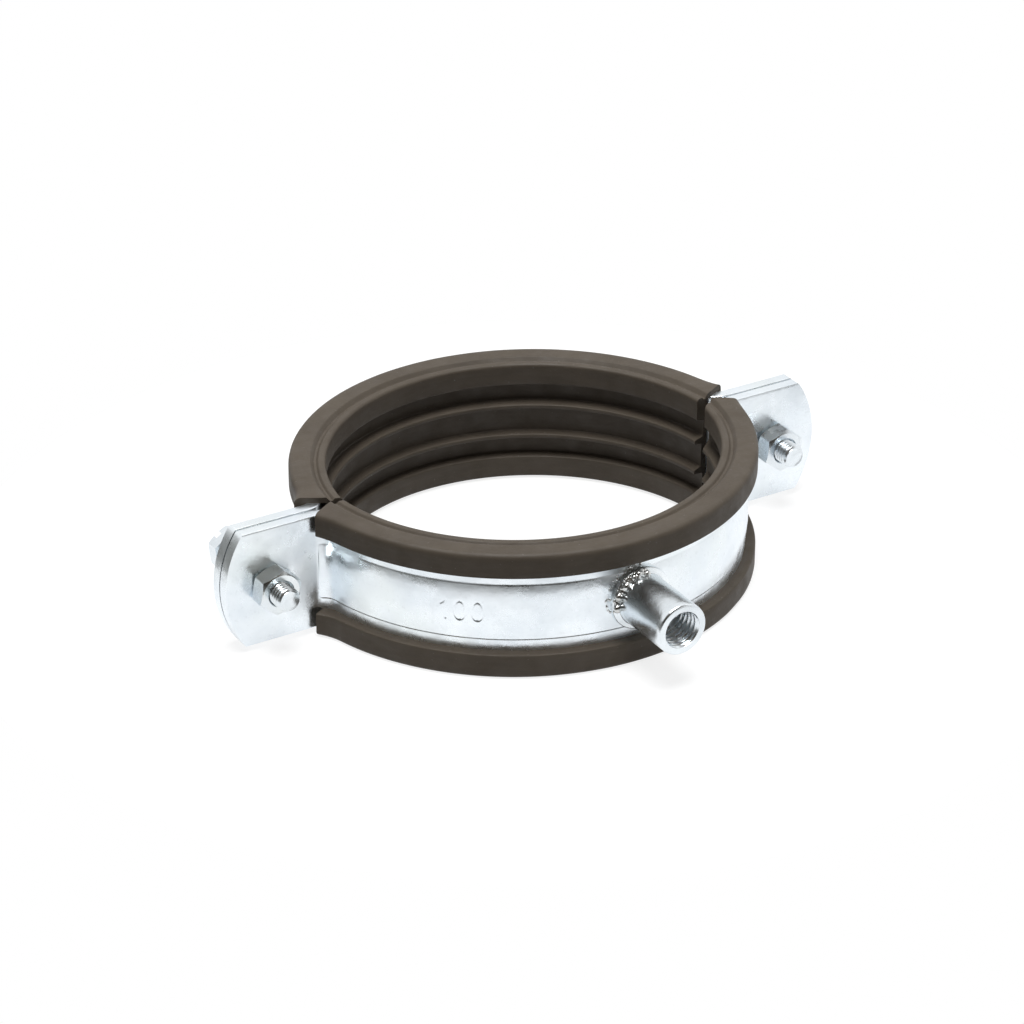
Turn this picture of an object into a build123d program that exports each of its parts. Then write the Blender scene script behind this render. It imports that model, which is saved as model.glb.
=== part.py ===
from build123d import *
import os
from math import asin, cos, degrees, radians, sin, sqrt, tan

# Rubber lined pipe clamp: two lined halves drawn together by two M6 screws,
# with a threaded hanger boss welded to the front half.
# Millimetres. +Z runs along the pipe, the ears point along X and the boss along -Y.
# The origin is the middle of the ring, on the joint between the halves.

# ring
pipe_radius = 50.0
half_overtravel = 5.0       # each half's centre lies this far past the joint
ear_play = 0.4              # gap between the two ears of a closed pair
part_gap = 0.3              # gap left where a part only rests against another

# steel strip
strip_width = 30.0
strip_thickness = 3.0
bend_radius = 3.8           # inside radius of the bend from ring to ear
ear_reach = 83.3            # middle of the ring to the crown of an ear
ear_end_radius = 26.0
ear_corner_radius = 1.2
panel_width = 14.6          # stiffening panel pressed outwards along the ring
panel_rise = 0.5
panel_setback = 12.0        # degrees of each bend left plain beside its ear

# rubber lining
thin_rib_height = 2.3       # thin ribs over the flat middle
lining_web = 1.7            # rubber between the flat middle and the strip
lip_thickness = 2.6
lip_height = 6.3
edge_cover = 1.45           # rubber over the edge of the strip
thin_rib_spacing = 8.4
thin_rib_width = 1.0
thin_rib_flank = 0.4
deep_channel_height = 5.6   # deep channels on either side of the thin ribs
deep_channel_depth = 3.0
channel_flank = 0.5
edge_rib_setback = 0.5      # edge rib's face behind the thin ribs' crests
edge_rib_width = 1.8
edge_rib_drop = 0.4         # top of the edge rib below the crown
gutter_width = 1.9
gutter_floor = 0.5
gutter_depth = 1.0
lip_corner_radius = 1.3
rib_corner_radius = 1.2
lining_end_angle = 6.3      # degrees from the halves' diameter to the cut ends
lip_end_slant = 31.0        # degrees that the lips are cut back beside the ears

# closing screws and nuts
thread_diameter = 6.0
hole_edge_distance = 11.9   # crown of an ear to its screw
screw_length = 28.0
screw_tip_chamfer = 0.6
screw_projection = 4.2      # screw end past the nut
hex_width = 10.0
hex_bevel_angle = 30.0
head_height = 4.0
slot_width = 1.6
slot_depth = 1.5
nut_height = 5.0
nut_countersink = 0.4
thread_clearance = 0.05     # radial, nut to screw
ear_hole_clearance = 0.5    # radial, ear to screw
left_nut_turn = 20.0
right_nut_turn = 22.0
left_head_turn = 35.7
right_head_turn = 12.0

# hanger boss and its weld
boss_diameter = 13.0
boss_length = 18.8
boss_thread_diameter = 8.5
boss_mouth_chamfer = 0.35
boss_root_chamfer = 0.4
boss_rim_chamfer = 0.5
collar_diameter = 16.0
collar_height = 1.5
weld_radius = 1.3
weld_start = 88.0           # degrees round the boss, from +X towards +Z
weld_sweep = 96.0

# sizes that follow
band_inner = pipe_radius + thin_rib_height + lining_web
band_outer = band_inner + strip_thickness
lip_outer = band_outer + lip_thickness
crown = strip_width / 2 + edge_cover
ear_inner = ear_play / 2
ear_outer = ear_inner + strip_thickness
bend_drop = ear_outer + bend_radius
bend_span = band_outer + bend_radius
bend_angle = degrees(asin((half_overtravel + bend_drop) / bend_span))
bend_x = bend_span * cos(radians(bend_angle))
screw_x = ear_reach - hole_edge_distance
nut_seat = ear_outer + part_gap
screw_end = nut_seat + nut_height + screw_projection
hex_corner = hex_width / sqrt(3)
boss_root = band_outer - half_overtravel
boss_face = boss_root + boss_length
reach = 2 * ear_reach       # longer than anything here, for cutting tools

ring_centre = (0, half_overtravel)
bend_centre = (bend_x, -bend_drop)
ring_axis = Axis((0, half_overtravel, 0), (0, 0, 1))


def at(centre, radius, angle):
    """Point at an angle in degrees and a radius from a centre."""
    turn = radians(angle)
    return (centre[0] + radius * cos(turn), centre[1] + radius * sin(turn))


def arc(centre, radius, start, end):
    middle = (start + end) / 2
    points = [at(centre, radius, angle) for angle in (start, middle, end)]
    return ThreePointArc(*points)


def outline(points):
    return make_face(Polyline(*points, close=True))


def along_y(radius, start, length):
    """Cylinder along Y from a start, running towards +Y."""
    return Pos(0, start + length / 2, 0) * Rot(90, 0, 0) * Cylinder(radius, length)


def both_sides(shape):
    return shape + mirror(shape, about=Plane.YZ)


# steel halves

def strip_surface(ring_radius, turn_radius, stop):
    """Ring and bend of the right half of one surface, up to an angle of the bend."""
    ring_arc = arc(ring_centre, ring_radius, -90, -bend_angle)
    return [ring_arc, arc(bend_centre, turn_radius, 180 - bend_angle, stop)]


def layer(inner, outer, height):
    """Solid between two surfaces given as chains of edges, mirrored to the left."""
    tip = Line(inner[-1] @ 1, outer[-1] @ 1)
    root = Line(inner[0] @ 0, outer[0] @ 0)
    right = make_face(inner + outer + [tip, root])
    return extrude(both_sides(right), height / 2, both=True)


def with_ear(surface):
    start = surface[-1] @ 1
    return surface + [Line(start, (ear_reach, start.Y))]


def strip_blank():
    inner = strip_surface(band_inner, bend_radius + strip_thickness, 90)
    outer = strip_surface(band_outer, bend_radius, 90)
    return layer(with_ear(inner), with_ear(outer), strip_width)


def ear_outline():
    """Plan of the strip seen along the screws, with its two crowned ends."""
    crowned = Pos(ear_reach - ear_end_radius, 0) * Circle(ear_end_radius)
    square = Pos(ear_reach / 2, 0) * Rectangle(ear_reach, strip_width)
    end = square & crowned
    start = Pos(bend_x / 2, 0) * Rectangle(bend_x, strip_width)
    half = start + end
    corners = half.vertices().filter_by(lambda v: v.X > bend_x)
    return both_sides(fillet(corners, ear_corner_radius))


def panel(ring_radius, turn_radius):
    """The pressed panel's layer on one surface of the strip."""
    stop = 90 + panel_setback
    lower = strip_surface(ring_radius, turn_radius, stop)
    upper = strip_surface(ring_radius + panel_rise, turn_radius - panel_rise, stop)
    return layer(lower, upper, panel_width)


def raised_panel():
    return panel(band_outer, bend_radius)


def panel_hollow():
    return panel(band_inner, bend_radius + strip_thickness)


def ear_holes():
    radius = thread_diameter / 2 + ear_hole_clearance
    return both_sides(Pos(screw_x, 0, 0) * along_y(radius, -reach, 2 * reach))


def strip():
    plan = extrude(Plane.XZ * ear_outline(), reach, both=True)
    return strip_blank() & plan


def band():
    return strip() + raised_panel() - panel_hollow() - ear_holes()


# rubber lining

def lining_side():
    """Upper half of the lining's section as (radius, height) points."""
    flat = pipe_radius + thin_rib_height
    rib_inner = (thin_rib_spacing - thin_rib_width) / 2
    rib_outer = rib_inner + thin_rib_width
    floor = pipe_radius + deep_channel_depth
    channel_top = rib_outer + deep_channel_height
    face = pipe_radius + edge_rib_setback
    rib_top = crown - edge_rib_drop
    gutter = face + edge_rib_width
    gutter_slope = (gutter_width - gutter_floor) / 2
    gutter_end = gutter + gutter_width
    return [
        (flat, rib_inner - thin_rib_flank),
        (pipe_radius, rib_inner),
        (pipe_radius, rib_outer),
        (floor, rib_outer + thin_rib_flank),
        (floor, channel_top - channel_flank),
        (face, channel_top),
        (face, rib_top),
        (gutter, rib_top),
        (gutter + gutter_slope, crown - gutter_depth),
        (gutter_end - gutter_slope, crown - gutter_depth),
        (gutter_end, crown),
        (lip_outer, crown),
        (lip_outer, crown - lip_height),
        (band_outer, crown - lip_height),
        (band_outer, strip_width / 2),
        (band_inner, strip_width / 2),
    ]


def rounded(section, radius, height, corner_radius):
    """Round the upper and lower corners of a section at a radius and height."""
    for level in (height, -height):
        corner = section.vertices().sort_by_distance(Vector(radius, level))[0]
        section = fillet(corner, corner_radius)
    return section


def lining_section():
    upper = lining_side()
    lower = [(radius, -height) for radius, height in reversed(upper)]
    section = outline(upper + lower)
    section = rounded(section, lip_outer, crown, lip_corner_radius)
    face = pipe_radius + edge_rib_setback
    return rounded(section, face, crown - edge_rib_drop, rib_corner_radius)


def lip_ends():
    """Wedges that cut the lips back beside the ears, outside the strip's inner face."""
    start = at(ring_centre, band_inner, -lining_end_angle)
    wedge = Pos(reach / 2, reach / 2, 0) * Box(reach, reach, reach)
    return both_sides(Pos(*start) * Rot(0, 0, -lip_end_slant) * wedge)


def lining():
    """Channel section rubber pushed onto a half, its lips meeting the bends."""
    swept = revolve(Plane.XZ * lining_section(), Axis.Z, 180 - 2 * lining_end_angle)
    placed = Pos(0, half_overtravel, 0) * Rot(0, 0, -180 + lining_end_angle) * swept
    return (placed - lip_ends() - strip()).solid()


# boss and weld

def boss_blank():
    collar = along_y(collar_diameter / 2, -boss_root - collar_height, boss_root / 2)
    post = along_y(boss_diameter / 2, -boss_face, boss_length * 2)
    rim = post.edges().sort_by(Axis.Y)[0]
    return collar + chamfer(rim, boss_rim_chamfer)


def ring_core():
    """Everything inside the outer face of the steel half."""
    drum = Pos(0, half_overtravel, 0) * Cylinder(band_outer, reach)
    return drum + raised_panel()


def boss_bore():
    radius = boss_thread_diameter / 2
    hole = along_y(radius, -boss_face, boss_length * 2)
    mouth = Cone(radius, radius + boss_mouth_chamfer, boss_mouth_chamfer)
    mouth_y = boss_face - boss_mouth_chamfer / 2
    root = Cone(radius + boss_root_chamfer, radius, boss_root_chamfer)
    root_y = boss_root + panel_rise + boss_root_chamfer / 2
    relief = along_y(radius + boss_root_chamfer, -boss_root - panel_rise, boss_length)
    hole += Pos(0, -mouth_y, 0) * Rot(90, 0, 0) * mouth
    return hole + relief + Pos(0, -root_y, 0) * Rot(90, 0, 0) * root


def connection_boss():
    return boss_blank() - ring_core() - boss_bore()


def weld_bead():
    """Short bead in the corner between the boss and its collar."""
    radius = boss_diameter / 2
    height = boss_root + collar_height
    seat = Plane(origin=(0, -height, 0), x_dir=(1, 0, 0), z_dir=(0, 0, 1))
    section = seat * Pos(radius, 0) * Circle(weld_radius)
    ring = Rot(0, -weld_start - weld_sweep, 0) * revolve(section, Axis.Y, weld_sweep)
    bead = ring
    for angle in (weld_start, weld_start + weld_sweep):
        x, z = at((0, 0), radius, angle)
        bead += Pos(x, -height, z) * Sphere(weld_radius)
    return bead - boss_blank() - ring_core()


# screws and nuts

def hexagon(height, turn):
    flat = RegularPolygon(hex_corner, 6, rotation=turn)
    return extrude(Plane.XZ * flat, -height)


def turned(height, lower_bevel, upper_bevel):
    """Lathe turned blank along Y that takes a hexagon's corners down."""
    inner = hex_width / 2
    drop = (hex_corner - inner) * tan(radians(hex_bevel_angle))
    points = [(0, 0)]
    points += [(inner, 0), (hex_corner, drop)] if lower_bevel else [(hex_corner, 0)]
    top = [(hex_corner, height - drop), (inner, height)]
    points += top if upper_bevel else [(hex_corner, height)]
    points.append((0, height))
    return revolve(outline(points), Axis.Y)


def screw(x, turn):
    head = hexagon(head_height, turn) & turned(head_height, False, True)
    slot = Box(reach, 2 * slot_depth, slot_width)
    head -= Pos(0, head_height, 0) * Rot(0, -turn - 90, 0) * slot
    shank = along_y(thread_diameter / 2, -screw_length, screw_length)
    tip = shank.edges().sort_by(Axis.Y)[0]
    body = head + chamfer(tip, screw_tip_chamfer)
    return Pos(x, screw_length - screw_end, 0) * body


def nut_bore():
    """Bore along Y, countersunk at both faces of the nut."""
    radius = thread_diameter / 2 + thread_clearance
    funnel = Rot(90, 0, 0) * Cone(radius + nut_countersink, radius, nut_countersink)
    upper = Pos(0, nut_height - nut_countersink / 2, 0) * funnel
    lower = mirror(Pos(0, -nut_countersink / 2, 0) * funnel, about=Plane.XZ)
    return along_y(radius, -reach, 2 * reach) + upper + lower


def nut(x, turn):
    body = hexagon(nut_height, turn) & turned(nut_height, True, True)
    return Pos(x, -nut_seat - nut_height, 0) * (body - nut_bore())


os.makedirs("parts", exist_ok=True)

front_band = band()
front_lining = lining()
parts = {
    "front_band": front_band,
    "back_band": mirror(front_band, about=Plane.XZ),
    "front_lining": front_lining,
    "back_lining": mirror(front_lining, about=Plane.XZ),
    "connection_boss": connection_boss(),
    "weld_bead": weld_bead(),
    "left_screw": screw(-screw_x, left_head_turn),
    "right_screw": screw(screw_x, right_head_turn),
    "left_nut": nut(-screw_x, left_nut_turn),
    "right_nut": nut(screw_x, right_nut_turn),
}

for name, shape in parts.items():
    export_step(shape, f"parts/{name}.step")
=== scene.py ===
import bpy
import bmesh
import math
import random
from collections import namedtuple
from mathutils import Matrix, Vector, noise

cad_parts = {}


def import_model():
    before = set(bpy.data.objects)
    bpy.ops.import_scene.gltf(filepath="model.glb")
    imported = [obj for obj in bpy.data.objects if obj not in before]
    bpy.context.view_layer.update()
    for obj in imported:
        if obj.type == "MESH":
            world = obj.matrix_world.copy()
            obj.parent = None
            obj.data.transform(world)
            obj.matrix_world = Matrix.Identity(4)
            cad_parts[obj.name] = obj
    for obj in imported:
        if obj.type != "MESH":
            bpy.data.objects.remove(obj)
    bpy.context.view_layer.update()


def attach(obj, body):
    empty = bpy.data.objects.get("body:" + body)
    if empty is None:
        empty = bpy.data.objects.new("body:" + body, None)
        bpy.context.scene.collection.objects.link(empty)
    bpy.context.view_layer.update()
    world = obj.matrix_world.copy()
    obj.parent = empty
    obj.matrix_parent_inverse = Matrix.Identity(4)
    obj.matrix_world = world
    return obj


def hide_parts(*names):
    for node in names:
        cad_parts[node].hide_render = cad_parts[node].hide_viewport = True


# Looks of the rubber lined pipe clamp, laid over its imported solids.
# Sizes are in millimetres and angles in degrees, unless a comment says otherwise.
# +Z runs along the pipe, the ears point along X and the boss along -Y.

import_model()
MM = 0.001
WHITE = (1.0, 1.0, 1.0)
rng = random.Random(7)

# the steel strip, as in the solids
HALF_SHIFT = 5.0            # each half's centre lies this far past the joint
STRIP, THICK = 30.0, 3.0    # width and thickness
R_IN = 54.0                 # pipe side of the ring
R_OUT = R_IN + THICK
EAR_IN = 0.2                # inner face of an ear, from the joint
EAR_OUT = EAR_IN + THICK
EAR_REACH = 83.3            # middle of the ring to the crown of an ear
EAR_R, EAR_CORNER = 26.0, 1.2
BEND_OUT = 3.8              # radius of the bend from ring to ear, on the side away from the pipe
BEND_IN = BEND_OUT + THICK
BEND_DROP = EAR_OUT + BEND_OUT
BEND_ANGLE = math.degrees(math.asin((HALF_SHIFT + BEND_DROP) / (R_OUT + BEND_OUT)))
BEND_X = (R_OUT + BEND_OUT) * math.cos(math.radians(BEND_ANGLE))
BEND_LINE = 4.6             # radius at which lengths along a bend are measured
SCREW_X = 71.4
EAR_HOLE_R = 3.5
STRIP_EDGE = 0.35           # rounding of the strip's four edges
EDGE_POINTS = 5             # points on each of those roundings
BEND_STOPS, RING_STOPS = 34, 84                 # stations on a bend and on a quarter of the ring

# the panel pressed out of the strip
PANEL_HALF, PANEL_CORNER = 7.3, 1.3
PANEL_STOP = 12.0           # degrees of each bend left plain beside its ear
SHOULDER_STEP, SHOULDER_STEP_RUN = 0.06, 0.2    # crisp part of its upper edge
SHOULDER_RISE, SHOULDER_RUN = 0.49, 3.8         # soft part of its upper edge
SHOULDER_CURVE = 1.6
FOOT_STEP_RUN, FOOT_RUN = 0.22, 4.5             # crisp and soft part of its lower edge and ends
FOOT_STEP_SHARE = 0.4                           # of the height, taken by the crisp part

# the struck pipe size, 100: strokes in millimetres from its middle
STAMP_ANGLE, STAMP_Z = 227.1, 0.15
STAMP_SPAN, STAMP_STOPS = 6.1, 86               # degrees to either side with finer stations, and their number
STAMP_REACH_X, STAMP_REACH_Y = 6.0, 3.1
STAMP_DEPTH, STROKE = 0.17, 0.42
DIGIT_HALF, ZERO_HALF = 2.4, 1.35
ONE_X, ZERO_XS = -4.0, (-0.6, 3.6)
FLAG_X, FLAG_Y = -5.1, 1.4  # outer end of the short stroke of the 1

# the rubber lining; its crown and lips stay a hair inside the solids' box
CROWN, LIP_OUT = 16.448, 59.58
RIB_CREST, MIDDLE_FLOOR, CHANNEL_FLOOR = 50.0, 52.3, 53.0
EDGE_RIB_CREST, EDGE_RIB_WIDTH = 50.5, 1.8
GUTTER_IN, GUTTER_OUT, LIP_SHOULDER = 52.8, 53.4, 54.3
RIB_TOP, GUTTER_FLOOR = CROWN - 0.4, CROWN - 1.0
LIP_EDGE = 10.15            # height of the lips' free edges
LINING_END = 6.3            # degrees from the halves' diameter to the cut ends
END_SPAN = 9.0              # degrees over which an end's cut and flare fade out
END_STOPS, MIDDLE_STOPS = 27, 130               # stations in each end and between them
LEAST_LIP = 0.3
PUSH_STEP, PUSH_STEPS = 0.05, 80                # search for the steel beside a bend
CUT_STEP = 0.02                                 # search for the corner of a lip's cut end
LIP_WAVE, WAVE_ROUND, WAVE_UP = 0.09, 5.4, 0.3  # depth of the lips' waves, and how close they lie

# Each end of a lining: the slant of its cut, the flare of its upper and lower lip in
# millimetres, and the degrees by which its bore side is cut back further.
End = namedtuple("End", "slant high low back_cut")
FRONT_LEFT = End(slant=30, high=1.3, low=2.0, back_cut=1.2)
FRONT_RIGHT = End(slant=36, high=0.4, low=0.4, back_cut=4.2)
BACK_LEFT = End(slant=28, high=1.9, low=1.4, back_cut=-0.8)
BACK_RIGHT = End(slant=28, high=1.3, low=0.9, back_cut=-0.5)

# M6 screws and nuts
HEX_WIDTH, HEX_SLOPE = 10.0, 30.0
BEVEL_START = 0.955         # of the flats' radius, where the bevel begins
CORNER_WEAR, CORNER_HALF = 0.12, 1.2            # how much a corner is flattened, and over what angle
HEAD_SEAT, HEAD_HEIGHT = 15.3, 4.0
SCREW_R, SCREW_PITCH, SCREW_LENGTH = 3.0, 1.0, 28.0
SCREW_GROOVE, SCREW_TIP = 0.56, 0.7
SHANK_ROOT = 0.2            # how far the shank reaches into the head
SLOT_WIDTH, SLOT_DEPTH = 1.6, 1.5
NUT_END, NUT_HEIGHT = -8.5, 5.0
NUT_HOLE_R, NUT_COUNTERSINK = 3.04, 0.42
CUTTER = 30.0               # longer than anything that is cut

# threads: flat crest and flank as shares of half a pitch
CREST_SHARE, FLANK_SHARE = 0.14, 0.62
THREAD_STEPS = 12           # rings to a pitch
BAR_SEGMENTS = 56

# hanger boss with an M10 bore
BOSS_R, BOSS_FACE, BOSS_RIM = 6.5, -70.8, 0.55
COLLAR_R, COLLAR_FACE, COLLAR_EDGE, COLLAR_FILLET = 8.0, -53.5, 0.4, 0.6
BOSS_FOOT = 0.05            # how far the boss's foot sinks into the steel
BORE_R, BORE_PITCH, BORE_GROOVE, BORE_DEPTH = 4.25, 1.5, 0.75, 18.0
FACE_R = 5.6                # outer edge of the boss's flat face
MOUTH_R, MOUTH_STEP = 4.65, 0.1                 # edge of the bore, and how far in its chamfer starts
MOUTH_EASE, THREAD_FADE = 0.05, 0.9             # its rounding, and how far in the thread is full
BOSS_SEGMENTS = 96

# the weld; angles are counted round the boss from +X towards +Z
BEAD_START, BEAD_STOP, BEAD_LUMPS = 84, 188, 26
BEAD_R, BEAD_Y = 6.8, -53.8
SPATTER_ARC, SPATTER_RING, SPATTER_LUMPS = (78, 196), (7.1, 9.2), 46
SPATTER_EDGE, SPATTER_FALL = 9.9, 2.2           # its lumps shrink towards this radius, over this length
COLLAR_WELD_R, COLLAR_WELD_Y = 7.9, -53.45      # spatter inside this radius lies on the collar
WELD_VOXEL, WELD_SMOOTHING = 0.14, 2

# floor, studio and camera
FLOOR_Z, FLOOR_R, FLOOR_GAP = -CROWN, 140.0, 0.02
FLOOR_GREY, FLOOR_GLOW = 0.24, 0.8
HALL_WAY, HALL_DARK = (-0.2, -0.65, 0.73), (0.09, 0.075, 0.06)      # toward the dark hall
LOW_AWAY, LOW_DARK = (0.6, 0.2, 1.0), (0.2, 0.2, 0.19)              # away from the dark patch
CLIP_NEAR, CLIP_FAR = 50.0, 20000.0
FOCAL_PX, PHOTO_PX, SENSOR = 3722.3, 1024, 36.0
CAMERA_RIGHT = Vector((0.85875, -0.51239, 0.0))
CAMERA_UP = Vector((0.24198, 0.40554, 0.88148))
CAMERA_BACK = Vector((-0.45166, -0.75697, 0.47225))
CAMERA_OFFSET = (-3.0, -1.531, 910.57)          # along right, up and back


# ---------------------------------------------------------------- node trees

class Tree:
    """Short calls for building a node tree."""

    def __init__(self, tree):
        self.tree = tree

    def node(self, kind, **settings):
        made = self.tree.nodes.new("ShaderNode" + kind)
        for key, value in settings.items():
            setattr(made, key, value)
        return made

    def feed(self, socket, value):
        """Link an output to a socket, or set the socket to a number, vector or colour."""
        if hasattr(value, "is_linked"):
            self.tree.links.new(value, socket)
        elif socket.type == "RGBA":
            socket.default_value = (*value, 1.0)
        else:
            socket.default_value = value

    def noise(self, scale, detail=3.0, rough=0.5, stretch=(1, 1, 1), lift=0.0):
        """Noise in the piece's own space; each lift shows another part of it."""
        mapping = self.node("Mapping")
        mapping.inputs["Scale"].default_value = stretch
        mapping.inputs["Location"].default_value = (lift, lift, lift)
        self.feed(mapping.inputs["Vector"], self.node("TexCoord").outputs["Object"])
        made = self.node("TexNoise")
        for key, value in (("Scale", scale), ("Detail", detail), ("Roughness", rough)):
            made.inputs[key].default_value = value
        self.feed(made.inputs["Vector"], mapping.outputs["Vector"])
        return made.outputs["Fac"]

    def ramp(self, value, *stops):
        """Ramp between two stops, each a position and a colour or a grey."""
        made = self.node("ValToRGB")
        for element, (position, colour) in zip(made.color_ramp.elements, stops):
            element.position = position
            grey = not isinstance(colour, tuple)
            element.color = (colour, colour, colour, 1.0) if grey else (*colour, 1.0)
        self.feed(made.inputs["Fac"], value)
        return made.outputs["Color"]

    def mix(self, share, a, b, mode="MIX"):
        """Colour a with a share of colour b."""
        made = self.node("Mix", data_type="RGBA", blend_type=mode)
        for index, value in ((0, share), (6, a), (7, b)):
            self.feed(made.inputs[index], value)
        return made.outputs[2]

    def maths(self, operation, a, b):
        made = self.node("Math", operation=operation)
        self.feed(made.inputs[0], a)
        self.feed(made.inputs[1], b)
        return made.outputs[0]

    def dot(self, vector, direction):
        made = self.node("VectorMath", operation="DOT_PRODUCT")
        self.feed(made.inputs[0], vector)
        self.feed(made.inputs[1], direction)
        return made.outputs["Value"]

    def bump(self, height, strength, distance, normal=None):
        """Normal bent by a height; the distance is in metres."""
        made = self.node("Bump")
        made.inputs["Strength"].default_value = strength
        made.inputs["Distance"].default_value = distance
        self.feed(made.inputs["Height"], height)
        if normal:
            self.feed(made.inputs["Normal"], normal)
        return made.outputs["Normal"]

    def light_switch(self, seen, lit):
        """One value for camera, glossy and transmission rays, another for the rest."""
        path = self.node("LightPath")
        direct = self.maths("MAXIMUM", path.outputs["Is Camera Ray"], path.outputs["Is Glossy Ray"])
        direct = self.maths("MAXIMUM", direct, path.outputs["Is Transmission Ray"])
        made = self.node("Mix", data_type="FLOAT")
        for index, value in ((0, direct), (2, lit), (3, seen)):
            self.feed(made.inputs[index], value)
        return made.outputs[0]


# ----------------------------------------------------------------- materials

def start_material(name):
    made = bpy.data.materials.new(name)
    made.use_nodes = True
    return made, Tree(made.node_tree)


def set_surface(material, tree, **values):
    shader = material.node_tree.nodes["Principled BSDF"]
    for key, value in values.items():
        tree.feed(shader.inputs[key.replace("_", " ")], value)


def zinc(name, low, high, tint, roughness, grain=1.0):
    """Bright zinc plate: mottled, faintly tinted and finely pitted."""
    made, tree = start_material(name)
    cloud = tree.noise(70.0, detail=4.0, rough=0.6)
    base = tree.ramp(cloud, (0.3, low), (0.7, high))
    stain = tree.ramp(tree.noise(38.0, rough=0.55, lift=0.9), (0.52, 0.0), (0.75, 0.55))
    base = tree.mix(stain, base, tint)
    specks = tree.ramp(tree.noise(900.0, rough=0.6, lift=0.3), (0.30, 0.8), (0.42, 1.0))
    base = tree.mix(0.3 * grain, base, specks, "MULTIPLY")
    polish = tree.noise(150.0, detail=4.0, rough=0.6, lift=0.5)
    rough = tree.ramp(polish, (0.3, roughness * 0.75), (0.72, roughness * 1.5))
    dents = tree.noise(260.0, lift=0.2)
    pits = tree.noise(1700.0, detail=2.0, lift=0.7)
    normal = tree.bump(dents, strength=0.22 * grain, distance=0.0004)
    normal = tree.bump(pits, strength=0.16 * grain, distance=0.0001, normal=normal)
    set_surface(made, tree, Base_Color=base, Metallic=1.0, Roughness=rough, Normal=normal)
    return made


def rubber(name):
    """Dull, dark brown extruded rubber with paler streaks and a little dust."""
    made, tree = start_material(name)
    cloud = tree.noise(60.0, detail=4.0, rough=0.6)
    base = tree.ramp(cloud, (0.3, (0.062, 0.048, 0.034)), (0.72, (0.082, 0.065, 0.047)))
    streak = tree.ramp(tree.noise(120.0, stretch=(1, 1, 9), lift=0.4), (0.45, 0.0), (0.8, 0.45))
    base = tree.mix(streak, base, (0.094, 0.076, 0.055))
    dust = tree.ramp(tree.noise(2100.0, detail=2.0, lift=0.8), (0.735, 0.0), (0.77, 0.7))
    base = tree.mix(dust, base, (0.25, 0.24, 0.22))
    bloom = tree.noise(210.0, detail=4.0, rough=0.6, lift=0.1)
    rough = tree.ramp(bloom, (0.3, 0.5), (0.7, 0.68))
    pores = tree.noise(1500.0, rough=0.6, lift=0.6)
    waves = tree.noise(90.0, detail=2.0, stretch=(1, 1, 4))
    normal = tree.bump(pores, strength=0.25, distance=0.0002)
    normal = tree.bump(waves, strength=0.2, distance=0.0008, normal=normal)
    set_surface(made, tree, Base_Color=base, Roughness=rough, Normal=normal, Specular_IOR_Level=0.42)
    return made


ZINC = zinc("zinc_plate", low=(0.75, 0.81, 0.86), high=(0.87, 0.92, 0.96),
            tint=(0.80, 0.85, 0.83), roughness=0.27)
ZINC_SCREW = zinc("zinc_screw", low=(0.70, 0.75, 0.79), high=(0.86, 0.91, 0.94),
                  tint=(0.72, 0.73, 0.66), roughness=0.22, grain=0.8)
WELD = zinc("weld_metal", low=(0.34, 0.34, 0.33), high=(0.86, 0.88, 0.88),
            tint=(0.24, 0.2, 0.16), roughness=0.2, grain=1.6)
RUBBER = rubber("lining_rubber")


# -------------------------------------------------------------------- meshes

def add_object(name, data):
    obj = bpy.data.objects.new(name, data)
    bpy.context.scene.collection.objects.link(obj)
    return obj


def dress(obj, body, node):
    """Put an object on its body, in place of the solid that it replaces, if it does."""
    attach(obj, body)
    if node:
        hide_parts(node)


def shade(mesh, sharp):
    """Smooth shading, broken at edges sharper than an angle."""
    mesh.shade_smooth()
    mesh.set_sharp_from_angle(angle=math.radians(sharp))


def piece(name, verts, faces, material, body, node, sharp=35.0):
    mesh = bpy.data.meshes.new(name)
    mesh.from_pydata([(x * MM, y * MM, z * MM) for x, y, z in verts], [], faces)
    bm = bmesh.new()
    bm.from_mesh(mesh)
    bmesh.ops.remove_doubles(bm, verts=bm.verts, dist=1e-7)
    bmesh.ops.recalc_face_normals(bm, faces=bm.faces)
    bm.to_mesh(mesh)
    bm.free()
    shade(mesh, sharp)
    mesh.materials.append(material)
    obj = add_object(name, mesh)
    dress(obj, body, node)
    return obj


def apply_modifiers(obj):
    graph = bpy.context.evaluated_depsgraph_get()
    result = bpy.data.meshes.new_from_object(obj.evaluated_get(graph))
    obj.modifiers.clear()
    obj.data = result


def cut_out(obj, bm):
    """Cut a tool, given as a bmesh, out of an object."""
    tool_mesh = bpy.data.meshes.new("tool")
    bm.to_mesh(tool_mesh)
    bm.free()
    tool = add_object("tool", tool_mesh)
    modifier = obj.modifiers.new("cut", "BOOLEAN")
    modifier.operation = "DIFFERENCE"
    modifier.solver = "EXACT"
    modifier.object = tool
    apply_modifiers(obj)
    bpy.data.objects.remove(tool)
    bpy.data.meshes.remove(tool_mesh)
    shade(obj.data, sharp=35.0)


def spread(low, high, count):
    return [low + (high - low) * i / (count - 1) for i in range(count)]


def ease(t):
    """Soft step from 0 to 1."""
    return t * t * (3 - 2 * t)


def tube_faces(rings, count):
    """Quads between closed rings of a number of points each."""
    faces = []
    for a in range(0, (rings - 1) * count, count):
        b = a + count
        for j in range(count):
            k = (j + 1) % count
            faces.append((a + j, b + j, b + k, a + k))
    return faces


def end_faces(rings, count):
    """One face over the first ring and one over the last."""
    last = (rings - 1) * count
    return [tuple(reversed(range(count))), tuple(range(last, last + count))]


def arc_points(x, y, radius, angles):
    turns = [math.radians(angle) for angle in angles]
    return [(x + radius * math.cos(t), y + radius * math.sin(t)) for t in turns]


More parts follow.
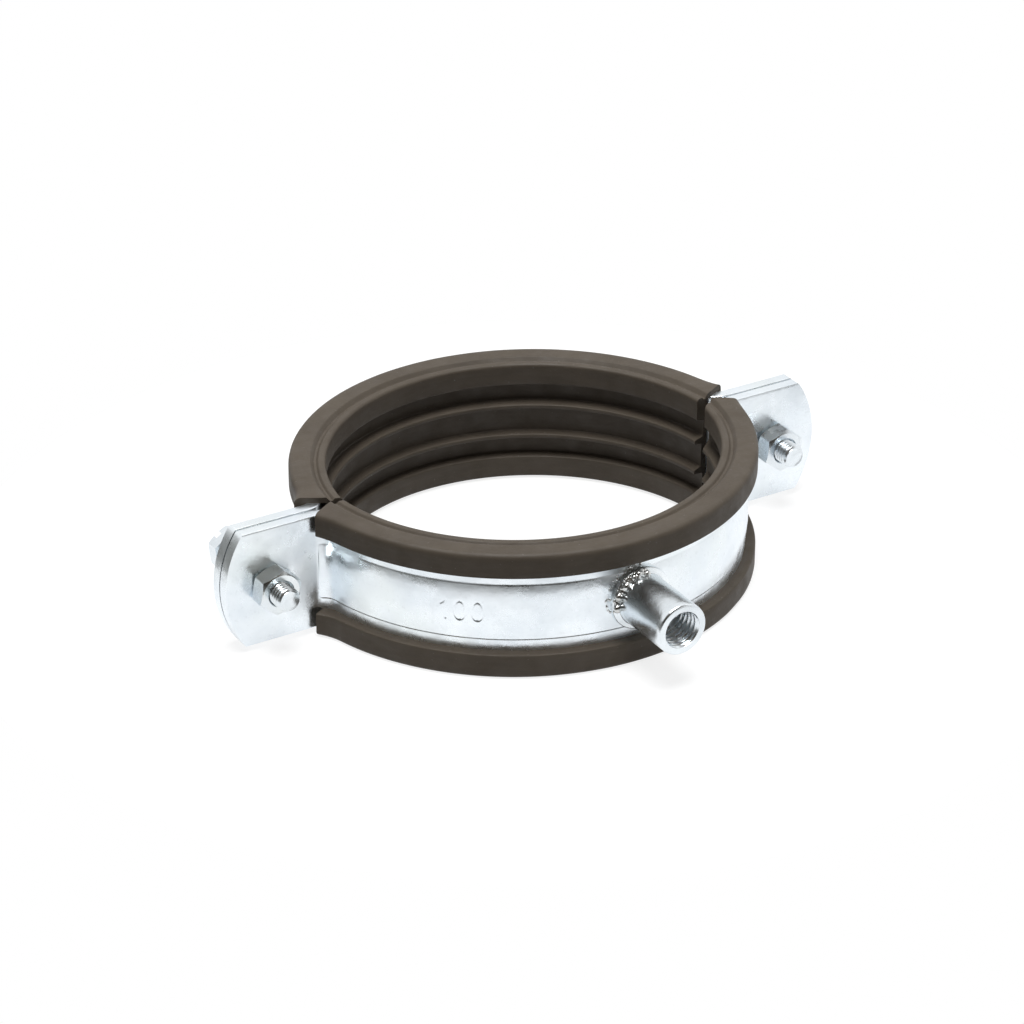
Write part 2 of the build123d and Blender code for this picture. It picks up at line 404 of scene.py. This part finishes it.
def rounded_loop(corners, steps=5, most=0.48):
    """Closed 2-D loop through (x, y, radius) corners; a rounding takes a share of an edge at most."""
    loop = []
    for i, (x, y, radius) in enumerate(corners):
        if radius <= 0:
            loop.append((x, y))
            continue
        here = Vector((x, y))
        before = Vector(corners[i - 1][:2]) - here
        after = Vector(corners[(i + 1) % len(corners)][:2]) - here
        u, v = before.normalized(), after.normalized()
        half = math.acos(max(-1, min(1, u.dot(v)))) / 2
        reach = min(radius / math.tan(half), before.length * most, after.length * most)
        radius = reach * math.tan(half)
        centre = here + (u + v).normalized() * (radius / math.sin(half))
        start, stop = here + u * reach - centre, here + v * reach - centre
        for t in spread(0, 1, steps):
            arm = start.normalized().slerp(stop.normalized(), t) * start.length
            loop.append(tuple(centre + arm))
    return loop


def fill_loop(loop, longest):
    """The same closed loop with no edge longer than a length."""
    out = []
    for i, (ax, ay) in enumerate(loop):
        bx, by = loop[(i + 1) % len(loop)]
        count = max(1, math.ceil(math.hypot(bx - ax, by - ay) / longest))
        out += [(ax + (bx - ax) * k / count, ay + (by - ay) * k / count) for k in range(count)]
    return out


# -------------------------------------------------------------- steel halves

def ear_end(z):
    """Reach of an ear at a height, with its crowned end and rounded corners."""
    z = abs(z)
    inner = EAR_R - EAR_CORNER
    corner_z = STRIP / 2 - EAR_CORNER
    if z <= corner_z * EAR_R / inner:
        return EAR_REACH - EAR_R + math.sqrt(EAR_R ** 2 - z * z)
    corner_x = EAR_REACH - EAR_R + math.sqrt(inner ** 2 - corner_z ** 2)
    return corner_x + math.sqrt(max(0.0, EAR_CORNER ** 2 - (z - corner_z) ** 2))


def stations(stamped):
    """Stations along a half from the left ear to the right: (kind, side, value), where the
    value is an ear's share of its reach, or an angle round the bend's or the ring's centre."""
    ear = [0.0, 0.05, 0.12] + spread(0.2, 0.96, 11) + [1.0]
    line = [("ear", -1, t) for t in reversed(ear)]
    line += [("bend", -1, a) for a in spread(90, BEND_ANGLE, BEND_STOPS)[1:-1]]
    quarter = spread(180 + BEND_ANGLE, 270, RING_STOPS)
    ring = quarter + [540 - a for a in quarter[:-1]]
    if stamped:
        low, high = STAMP_ANGLE - STAMP_SPAN, STAMP_ANGLE + STAMP_SPAN
        ring = [a for a in ring if not low < a < high] + spread(low, high, STAMP_STOPS)
    line += [("ring", 0, a) for a in sorted(ring)]
    line += [("bend", 1, a) for a in spread(180 - BEND_ANGLE, 90, BEND_STOPS)[1:-1]]
    line += [("ear", 1, t) for t in ear]
    return line


def panel_rise(kind, side, value, z):
    """Height of the pressed panel: its upper edge is a soft shoulder, its lower edge and
    its ends are a small crisp step with a soft rise behind it."""
    if kind == "ear":
        return 0.0
    if kind == "bend":
        turned = value if side < 0 else 180 - value
        along = math.radians(90 - PANEL_STOP - turned) * BEND_LINE
    else:
        near = 90 - abs(value - 270)
        along = math.radians(90 - PANEL_STOP - BEND_ANGLE) * BEND_LINE
        along += math.radians(near - BEND_ANGLE) * R_OUT
    dx, dz = PANEL_CORNER - along, abs(z) - (PANEL_HALF - PANEL_CORNER)
    if PANEL_CORNER <= (math.hypot(dx, dz) if dx > 0 and dz > 0 else max(dx, dz)):
        return 0.0
    top, low = PANEL_HALF - z, min(PANEL_HALF + z, along)
    crisp = SHOULDER_STEP * min(1.0, top / SHOULDER_STEP_RUN)
    soft = SHOULDER_RISE * (1 - (1 - min(1.0, top / SHOULDER_RUN)) ** SHOULDER_CURVE)
    step = FOOT_STEP_SHARE * min(1.0, low / FOOT_STEP_RUN)
    return (crisp + soft) * (step + (1 - FOOT_STEP_SHARE) * ease(min(1.0, low / FOOT_RUN)))


def stroke_gap(x, y, ax, ay, bx, by):
    """Distance of a point from a straight stroke."""
    t = ((x - ax) * (bx - ax) + (y - ay) * (by - ay)) / ((bx - ax) ** 2 + (by - ay) ** 2)
    t = max(0.0, min(1.0, t))
    return math.hypot(x - ax - t * (bx - ax), y - ay - t * (by - ay))


def zero_gap(x, y):
    """Rough distance of a point from an oval stroke about 0, 0."""
    reach = math.hypot(x / ZERO_HALF, y / DIGIT_HALF) + 1e-6
    slope = math.hypot(x / ZERO_HALF ** 2, y / DIGIT_HALF ** 2) + 1e-6
    return abs(reach - 1) * reach / slope


def stamp_depth(angle, z):
    """Depth of the struck pipe size at an angle and height of the front band."""
    x, y = math.radians(angle - STAMP_ANGLE) * R_OUT, z - STAMP_Z
    if abs(x) > STAMP_REACH_X or abs(y) > STAMP_REACH_Y:
        return 0.0
    gaps = [stroke_gap(x, y, ONE_X, -DIGIT_HALF, ONE_X, DIGIT_HALF)]
    gaps.append(stroke_gap(x, y, FLAG_X, FLAG_Y, ONE_X, DIGIT_HALF))
    gaps += [zero_gap(x - middle, y) for middle in ZERO_XS]
    return STAMP_DEPTH * ease(max(0.0, 1 - min(gaps) / STROKE))


def strip_point(kind, side, value, n, z, stamped):
    """Point of the front half strip at n millimetres from its pipe side."""
    if kind == "ear":
        return side * (BEND_X + value * (ear_end(z) - BEND_X)), -(EAR_IN + n), z
    turn = math.radians(value)
    outer_face = n > THICK - 0.1
    n += panel_rise(kind, side, value, z)
    if kind == "bend":
        radius = BEND_IN - n
        return side * BEND_X + radius * math.cos(turn), -BEND_DROP + radius * math.sin(turn), z
    radius = R_IN + n
    if stamped and outer_face:
        radius -= stamp_depth(value, z)
    return radius * math.cos(turn), HALF_SHIFT + radius * math.sin(turn), z


def strip_section(stamped):
    """Loop of (n, z) round the strip's section, closer where the panel's edges lie."""
    rows = spread(0, 3.2, 17 if stamped else 3) + [4.8, 5.6] + spread(6.0, 7.35, 10)
    rows += [7.6, 8.4, 9.6, 11.0, 12.4, 13.6, 14.2]
    rows = [-z for z in reversed(rows[1:])] + rows
    near, far = STRIP_EDGE, THICK - STRIP_EDGE
    high = STRIP / 2 - STRIP_EDGE
    loop = [(THICK, z) for z in rows]
    loop += arc_points(far, high, STRIP_EDGE, spread(0, 90, EDGE_POINTS))
    loop += arc_points(near, high, STRIP_EDGE, spread(90, 180, EDGE_POINTS))
    loop += [(0.0, z) for z in reversed(rows)]
    loop += arc_points(near, -high, STRIP_EDGE, spread(180, 270, EDGE_POINTS))
    loop += arc_points(far, -high, STRIP_EDGE, spread(270, 360, EDGE_POINTS))
    return loop


def section_cap(start, count):
    """Quads that close an ear's end, running across the strip's thickness."""
    faces = []
    rows = count // 2 - 2 * EDGE_POINTS
    for i in range(-EDGE_POINTS, rows + EDGE_POINTS - 1):
        j = -2 * EDGE_POINTS - 1 - i
        faces.append(tuple(start + k % count for k in (i, i + 1, j - 1, j)))
    return faces


def drill_hole(obj, x, radius):
    """Cut a round hole along Y through an object."""
    bm = bmesh.new()
    place = Matrix.Translation((x * MM, 0, 0)) @ Matrix.Rotation(math.radians(90), 4, "X")
    bmesh.ops.create_cone(bm, cap_ends=True, segments=64, radius1=radius * MM, radius2=radius * MM,
                          depth=CUTTER * MM, matrix=place)
    cut_out(obj, bm)


def steel_half(name, node, body, flip):
    """One half of the clamp; flip is 1 for the front half and -1 for the back one."""
    stamped = flip > 0
    section, line = strip_section(stamped), stations(stamped)
    count = len(section)
    verts = [strip_point(*station, n, z, stamped) for station in line for n, z in section]
    verts = [(x, flip * y, z) for x, y, z in verts]
    faces = tube_faces(len(line), count)
    faces += section_cap(0, count) + section_cap((len(line) - 1) * count, count)
    obj = piece(name, verts, faces, ZINC, body, node)
    for side in (-1, 1):
        drill_hole(obj, side * SCREW_X, EAR_HOLE_R)


# -------------------------------------------------------------------- lining

def lining_loop():
    """Section of the lining as a rounded loop of (radius, height)."""
    thin_rib = [(MIDDLE_FLOOR, 3.25, 0.25), (RIB_CREST, 3.7, 0.35), (RIB_CREST, 4.7, 0.35)]
    channel = [(CHANNEL_FLOOR, 5.2, 0.5), (CHANNEL_FLOOR, 9.7, 0.5)]
    edge_rib = [(EDGE_RIB_CREST, 10.3, 0.5), (EDGE_RIB_CREST, RIB_TOP, 1.2)]
    edge_rib.append((EDGE_RIB_CREST + EDGE_RIB_WIDTH, RIB_TOP, 0.5))
    gutter = [(GUTTER_IN, GUTTER_FLOOR, 0.25), (GUTTER_OUT, GUTTER_FLOOR, 0.3)]
    lip = [(LIP_SHOULDER, CROWN, 0.6), (LIP_OUT, CROWN, 1.3), (LIP_OUT, LIP_EDGE, 0.45), (R_OUT, LIP_EDGE, 0)]
    strip_side = [(R_OUT, STRIP / 2, 0), (R_IN, STRIP / 2, 0)]
    upper = thin_rib + channel + edge_rib + gutter + lip + strip_side
    lower = [(radius, -z, corner) for radius, z, corner in reversed(upper)]
    return fill_loop(rounded_loop(upper + lower), longest=1.2)


def bend_push(angle):
    """How far beyond the ring the steel of the bend reaches, at an angle from the diameter."""
    if angle >= BEND_ANGLE:
        return 0.0
    turn = math.radians(angle)
    most = 0.0
    for step in range(PUSH_STEPS):
        push = step * PUSH_STEP
        x, y = (R_OUT + push) * math.cos(turn), HALF_SHIFT - (R_OUT + push) * math.sin(turn)
        if math.hypot(x - BEND_X, y + BEND_DROP) > BEND_OUT:
            most = push
    return most


def end_angle(radius, slant):
    """Angle at which a lining ends: square up to the strip, then cut back by a slant."""
    if radius <= R_IN:
        return LINING_END
    turn, cut = math.radians(LINING_END), math.radians(slant)
    x, y = R_IN * math.cos(turn), R_IN * math.sin(turn)
    dx, dy = math.cos(cut), math.sin(cut)
    b = x * dx + y * dy
    t = -b + math.sqrt(b * b + radius ** 2 - R_IN ** 2)
    return math.degrees(math.atan2(y + t * dy, x + t * dx))


def lip_end(slant, flare):
    """Angles of the inner and outer corner of a lip's cut end, the inner one on the steel."""
    radius = R_OUT
    while radius < LIP_OUT and R_OUT + bend_push(end_angle(radius, slant)) > radius:
        radius += CUT_STEP
    return end_angle(radius, slant), end_angle(LIP_OUT + flare, slant)


def lining_point(end, tips, near, radius, z):
    """Angle from the diameter, and radius, of a point of the section near an end. Its lips
    follow the steel of the bend inside and flare outside, between the angles in tips."""
    fade = max(0.0, 1 - (near - LINING_END) / END_SPAN)
    lip = (radius - R_OUT) / (LIP_OUT - R_OUT)
    if lip < 0:
        cut = end.back_cut * max(0.0, R_IN - radius) / (R_IN - EDGE_RIB_CREST)
        return near + (end_angle(radius, end.slant) + cut - LINING_END) * fade, radius
    flare, (start, stop) = (end.high, tips[0]) if z > 0 else (end.low, tips[1])
    angle = near + (start + (stop - start) * lip - LINING_END) * fade
    outer = LIP_OUT + flare * fade ** 2
    inner = min(R_OUT + bend_push(angle), outer - LEAST_LIP)
    return angle, inner + lip * (outer - inner)


def lining_half(name, node, body, flip, left_end, right_end):
    """One rubber half; flip is 1 for the front half and -1 for the back one."""
    loop = lining_loop()
    low, high = LINING_END + END_SPAN, 180 - LINING_END - END_SPAN
    stops = spread(LINING_END, low, END_STOPS) + spread(low + 1, high - 1, MIDDLE_STOPS)
    stops += spread(high, 180 - LINING_END, END_STOPS)
    left_tips, right_tips = [(lip_end(end.slant, end.high), lip_end(end.slant, end.low))
                             for end in (left_end, right_end)]
    verts = []
    for stop in stops:
        left = stop > 90
        near = 180 - stop if left else stop
        end, tips = (left_end, left_tips) if left else (right_end, right_tips)
        for radius, z in loop:
            angle, r = lining_point(end, tips, near, radius, z)
            turn = math.radians(180 - angle if left else angle)
            if radius > R_OUT + 0.05:
                place = (math.cos(turn) * WAVE_ROUND, math.sin(turn) * WAVE_ROUND, z * WAVE_UP + flip)
                r += min(0.0, noise.noise(Vector(place)) * LIP_WAVE)
            verts.append((r * math.cos(turn), flip * (HALF_SHIFT - r * math.sin(turn)), z))
    count = len(loop)
    last = (len(stops) - 1) * count
    faces = tube_faces(len(stops), count)
    faces.append(tuple(range(count)))
    faces.append(tuple(reversed(range(last, last + count))))
    piece(name, verts, faces, RUBBER, body, node, sharp=50)


# ---------------------------------------------------------- screws and nuts

def thread_depth(phase, depth):
    """Depth below the crest of a 60 degree thread at a share of its pitch."""
    phase = abs((phase + 0.5) % 1.0 - 0.5) * 2
    return depth * max(0.0, min(1.0, (phase - CREST_SHARE) / FLANK_SHARE))


def threaded_bar(radius, pitch, depth, start, end, tip):
    """Vertices and faces of a threaded rod along Y, tapering over the tip at its start."""
    step = pitch / THREAD_STEPS
    count = int(round((end - start) / step)) + 1
    blunt = depth * 0.9
    verts = []
    for i in range(count):
        y = start + i * step
        for j in range(BAR_SEGMENTS):
            turn = 2 * math.pi * j / BAR_SEGMENTS
            r = radius - thread_depth(y / pitch - j / BAR_SEGMENTS, depth)
            if y - start < tip:
                r = min(r, radius - blunt + (y - start) * blunt / tip)
            verts.append((r * math.sin(turn), y, r * math.cos(turn)))
    return verts, tube_faces(count, BAR_SEGMENTS) + end_faces(count, BAR_SEGMENTS)


def hex_prism(turn, height, hole=0.0, countersink=0.0):
    """Vertices and faces of a hexagon from y = 0 to a height: a head, bevelled at its top
    alone, or a nut with a hole, bevelled and countersunk at both ends."""
    angles = []
    for corner in range(0, 360, 60):
        steps = [-CORNER_HALF, 0, CORNER_HALF] + list(range(5, 55, 5))
        angles += [(turn + corner + step) % 360 for step in steps]
    angles.sort()
    count = len(angles)
    flat = HEX_WIDTH / 2
    limit = flat * BEVEL_START

    def side(angle):
        """Radius of the hexagon at an angle, with its corners slightly flattened."""
        local = (angle - turn) % 60.0
        worn = CORNER_WEAR if min(local, 60 - local) < CORNER_HALF / 2 else 0.0
        return flat / math.cos(math.radians(local - 30.0)) - worn

    # rings of (radius, drop) from the axis or the hole out to the middle of the side
    profile = [(hole, countersink), (hole + countersink, 0.0)] if hole else [(0.01, 0.0)]
    profile += [(r, 0.0) for r in spread(profile[-1][0], limit, 4)[1:]]
    rings = [[point] * count for point in profile]
    for share in (0.34, 0.67, 1.0):
        beyond = [(side(a) - limit) * share for a in angles]
        rings.append([(limit + d, max(0.0, d) * math.tan(math.radians(HEX_SLOPE))) for d in beyond])
    low = [[(r, drop if hole else 0.0) for r, drop in ring] for ring in rings]
    high = [[(r, height - drop) for r, drop in ring] for ring in reversed(rings)]

    turns = [math.radians(a) for a in angles]
    verts = [(r * math.cos(t), y, r * math.sin(t)) for ring in low + high for (r, y), t in zip(ring, turns)]
    faces = tube_faces(2 * len(rings), count)
    if not hole:
        return verts, faces + end_faces(2 * len(rings), count)
    last = len(verts) - count
    faces += [(last + j, j, (j + 1) % count, last + (j + 1) % count) for j in range(count)]
    return verts, faces


def moved(verts, x, y=0.0):
    return [(a + x, b + y, c) for a, b, c in verts]


def slotted_screw(name, node, body, x, turn):
    verts, faces = hex_prism(turn, HEAD_HEIGHT)
    head = piece(name, moved(verts, x, HEAD_SEAT), faces, ZINC_SCREW, body, node)
    bm = bmesh.new()
    top = Matrix.Translation((x * MM, (HEAD_SEAT + HEAD_HEIGHT) * MM, 0))
    spin = Matrix.Rotation(math.radians(-turn - 90), 4, "Y")
    size = Matrix.Diagonal((CUTTER * MM, 2 * SLOT_DEPTH * MM, SLOT_WIDTH * MM, 1))
    bmesh.ops.create_cube(bm, size=1.0, matrix=top @ spin @ size)
    cut_out(head, bm)
    verts, faces = threaded_bar(SCREW_R, SCREW_PITCH, SCREW_GROOVE, HEAD_SEAT - SCREW_LENGTH,
                                HEAD_SEAT + SHANK_ROOT, SCREW_TIP)
    piece(name + "_thread", moved(verts, x), faces, ZINC_SCREW, body, None, sharp=60)


def hex_nut(name, node, body, x, turn):
    verts, faces = hex_prism(turn, NUT_HEIGHT, NUT_HOLE_R, NUT_COUNTERSINK)
    piece(name, moved(verts, x, NUT_END), faces, ZINC_SCREW, body, node, sharp=24)


# ------------------------------------------------------------- boss and weld

def boss_surface(x, z):
    """Y of the steel below a point of the boss, which sinks in slightly."""
    radius = R_OUT + panel_rise("ring", 0, 270, z)
    return HALF_SHIFT - math.sqrt(radius ** 2 - x * x) + BOSS_FOOT


def boss(name, node, body):
    """Collar, plain outside and threaded bore, as rings of (radius, y); no y is the steel's."""
    profile = [(COLLAR_R, None)]
    profile += arc_points(COLLAR_R - COLLAR_EDGE, COLLAR_FACE + COLLAR_EDGE, COLLAR_EDGE, (0, -30, -60, -90))
    profile += arc_points(BOSS_R + COLLAR_FILLET, COLLAR_FACE - COLLAR_FILLET, COLLAR_FILLET,
                          (90, 120, 150, 180))
    profile += [(BOSS_R, y) for y in spread(COLLAR_FACE - 1.5, BOSS_FACE + 0.6, 12)]
    profile += arc_points(BOSS_R - BOSS_RIM, BOSS_FACE + BOSS_RIM, BOSS_RIM, (-30, -60, -90))
    profile += [(FACE_R, BOSS_FACE), (MOUTH_R, BOSS_FACE)]
    rings = [[point] * BOSS_SEGMENTS for point in profile]
    step = BORE_PITCH / THREAD_STEPS
    for i in range(int((BORE_DEPTH - MOUTH_STEP) / step)):
        inward = i * step
        y = BOSS_FACE + MOUTH_STEP + inward
        mouth = MOUTH_R - MOUTH_EASE - inward
        row = []
        for j in range(BOSS_SEGMENTS):
            groove = BORE_GROOVE - thread_depth(y / BORE_PITCH - j / BOSS_SEGMENTS, BORE_GROOVE)
            row.append((max(BORE_R + groove * min(1.0, inward / THREAD_FADE), mouth), y))
        rings.append(row)
    rings.append([(BORE_R + 0.1, None)] * BOSS_SEGMENTS)
    verts = []
    for ring in rings:
        for j, (r, y) in enumerate(ring):
            turn = 2 * math.pi * j / BOSS_SEGMENTS
            x, z = r * math.sin(turn), r * math.cos(turn)
            verts.append((x, boss_surface(x, z) if y is None else y, z))
    faces = tube_faces(len(rings), BOSS_SEGMENTS) + end_faces(len(rings), BOSS_SEGMENTS)
    piece(name, verts, faces, ZINC_SCREW, body, node, sharp=50)


def bead_lump(angle):
    """One (x, y, z, size) lump of the bead itself, near an angle."""
    turn = math.radians(angle + rng.uniform(-2, 2))
    r = BEAD_R + rng.uniform(-0.2, 0.5)
    size = rng.uniform(0.6, 1.1)
    return r * math.cos(turn), BEAD_Y + rng.uniform(-0.6, 0.3), r * math.sin(turn), size


def spatter_lump():
    """One (x, y, z, size) lump of the spatter, on the collar or on the steel beside it."""
    turn = math.radians(rng.uniform(*SPATTER_ARC))
    r = rng.uniform(*SPATTER_RING)
    size = rng.uniform(0.3, 0.8) * (SPATTER_EDGE - r) / SPATTER_FALL
    x, z = r * math.cos(turn), r * math.sin(turn)
    return x, COLLAR_WELD_Y if r < COLLAR_WELD_R else boss_surface(x, z), z, size


def weld(name, node, body):
    """Lumpy bead in the corner between boss and collar, with spatter round it."""
    lumps = [bead_lump(angle) for angle in spread(BEAD_START, BEAD_STOP, BEAD_LUMPS)]
    lumps += [spatter_lump() for _ in range(SPATTER_LUMPS)]
    bm = bmesh.new()
    for x, y, z, size in lumps:
        squash = Matrix.Diagonal((1, rng.uniform(0.7, 0.95), 1, 1))
        place = Matrix.Translation((x * MM, y * MM, z * MM)) @ squash
        bmesh.ops.create_icosphere(bm, subdivisions=3, radius=size * MM, matrix=place)
    mesh = bpy.data.meshes.new(name)
    bm.to_mesh(mesh)
    bm.free()
    obj = add_object(name, mesh)
    melt = obj.modifiers.new("melt", "REMESH")
    melt.mode = "VOXEL"
    melt.voxel_size = WELD_VOXEL * MM
    soften = obj.modifiers.new("soften", "SMOOTH")
    soften.iterations = WELD_SMOOTHING
    apply_modifiers(obj)
    obj.data.shade_smooth()
    obj.data.materials.clear()
    obj.data.materials.append(WELD)
    dress(obj, body, node)


# ------------------------------------------------------------------ the part

steel_half("front_steel", "front_band", "front_half", 1)
steel_half("back_steel", "back_band", "back_half", -1)
lining_half("front_rubber", "front_lining", "front_half", 1, FRONT_LEFT, FRONT_RIGHT)
lining_half("back_rubber", "back_lining", "back_half", -1, BACK_LEFT, BACK_RIGHT)
boss("hanger_boss", "connection_boss", "front_half")
weld("boss_weld", "weld_bead", "front_half")
slotted_screw("left_bolt", "left_screw", "left_screw_body", -SCREW_X, turn=35.7)
slotted_screw("right_bolt", "right_screw", "right_screw_body", SCREW_X, turn=12.0)
hex_nut("left_hex_nut", "left_nut", "left_nut_body", -SCREW_X, turn=20.0)
hex_nut("right_hex_nut", "right_nut", "right_nut_body", SCREW_X, turn=22.0)


# --------------------------------------------------- floor, lamps and camera

def floor():
    """Plain pale table that takes the shadow."""
    bm = bmesh.new()
    place = Matrix.Translation((0, 0, (FLOOR_Z - FLOOR_GAP) * MM))
    bmesh.ops.create_circle(bm, cap_ends=True, radius=FLOOR_R * MM, segments=96, matrix=place)
    mesh = bpy.data.meshes.new("floor")
    bm.to_mesh(mesh)
    bm.free()
    obj = add_object("floor", mesh)
    made, tree = start_material("floor_white")
    glow = tree.light_switch(seen=FLOOR_GLOW, lit=0.0)
    grey = (FLOOR_GREY, FLOOR_GREY, FLOOR_GREY)
    set_surface(made, tree, Base_Color=grey, Roughness=0.8, Emission_Color=WHITE, Emission_Strength=glow)
    mesh.materials.append(made)


def world():
    """White studio; reflections see a dark hall above the camera and a dark patch low on the left."""
    made = bpy.data.worlds.new("studio")
    made.use_nodes = True
    bpy.context.scene.world = made
    tree = Tree(made.node_tree)
    way = tree.node("TexCoord").outputs["Generated"]
    hall = tree.ramp(tree.dot(way, HALL_WAY), (0.45, WHITE), (0.8, HALL_DARK))
    aside = tree.maths("ADD", tree.dot(way, LOW_AWAY), 0.5)
    low = tree.ramp(aside, (0.38, LOW_DARK), (0.54, WHITE))
    reflected = tree.mix(1.0, hall, low, "MULTIPLY")
    glossy = tree.node("LightPath").outputs["Is Glossy Ray"]
    background = made.node_tree.nodes["Background"]
    tree.feed(background.inputs["Color"], tree.mix(glossy, WHITE, reflected))
    tree.feed(background.inputs["Strength"], tree.light_switch(seen=1.0, lit=0.13))


def sun(name, azimuth, elevation, strength, softness):
    """Distant lamp; its azimuth is counted from -Y, the front, towards +X."""
    light = bpy.data.lights.new(name, "SUN")
    light.energy = strength
    light.angle = math.radians(softness)
    a, e = math.radians(azimuth), math.radians(elevation)
    place = Vector((math.sin(a) * math.cos(e), -math.cos(a) * math.cos(e), math.sin(e)))
    add_object(name, light).rotation_euler = (-place).to_track_quat("-Z", "Y").to_euler()


def camera():
    """The camera fitted to the photo's edges."""
    data = bpy.data.cameras.new("camera")
    data.sensor_width = SENSOR
    data.lens = FOCAL_PX / PHOTO_PX * SENSOR
    data.clip_start, data.clip_end = CLIP_NEAR * MM, CLIP_FAR * MM
    obj = add_object("camera", data)
    axes = (CAMERA_RIGHT, CAMERA_UP, CAMERA_BACK)
    place = sum((axis * step for axis, step in zip(axes, CAMERA_OFFSET)), Vector()) * MM
    obj.matrix_world = Matrix.Translation(place) @ Matrix(axes).transposed().to_4x4()
    bpy.context.scene.camera = obj


floor()
world()
sun("key", azimuth=-40, elevation=82, strength=3.2, softness=35)
sun("fill", azimuth=60, elevation=50, strength=0.1, softness=45)
camera()
bpy.context.scene.view_settings.view_transform = "Standard"
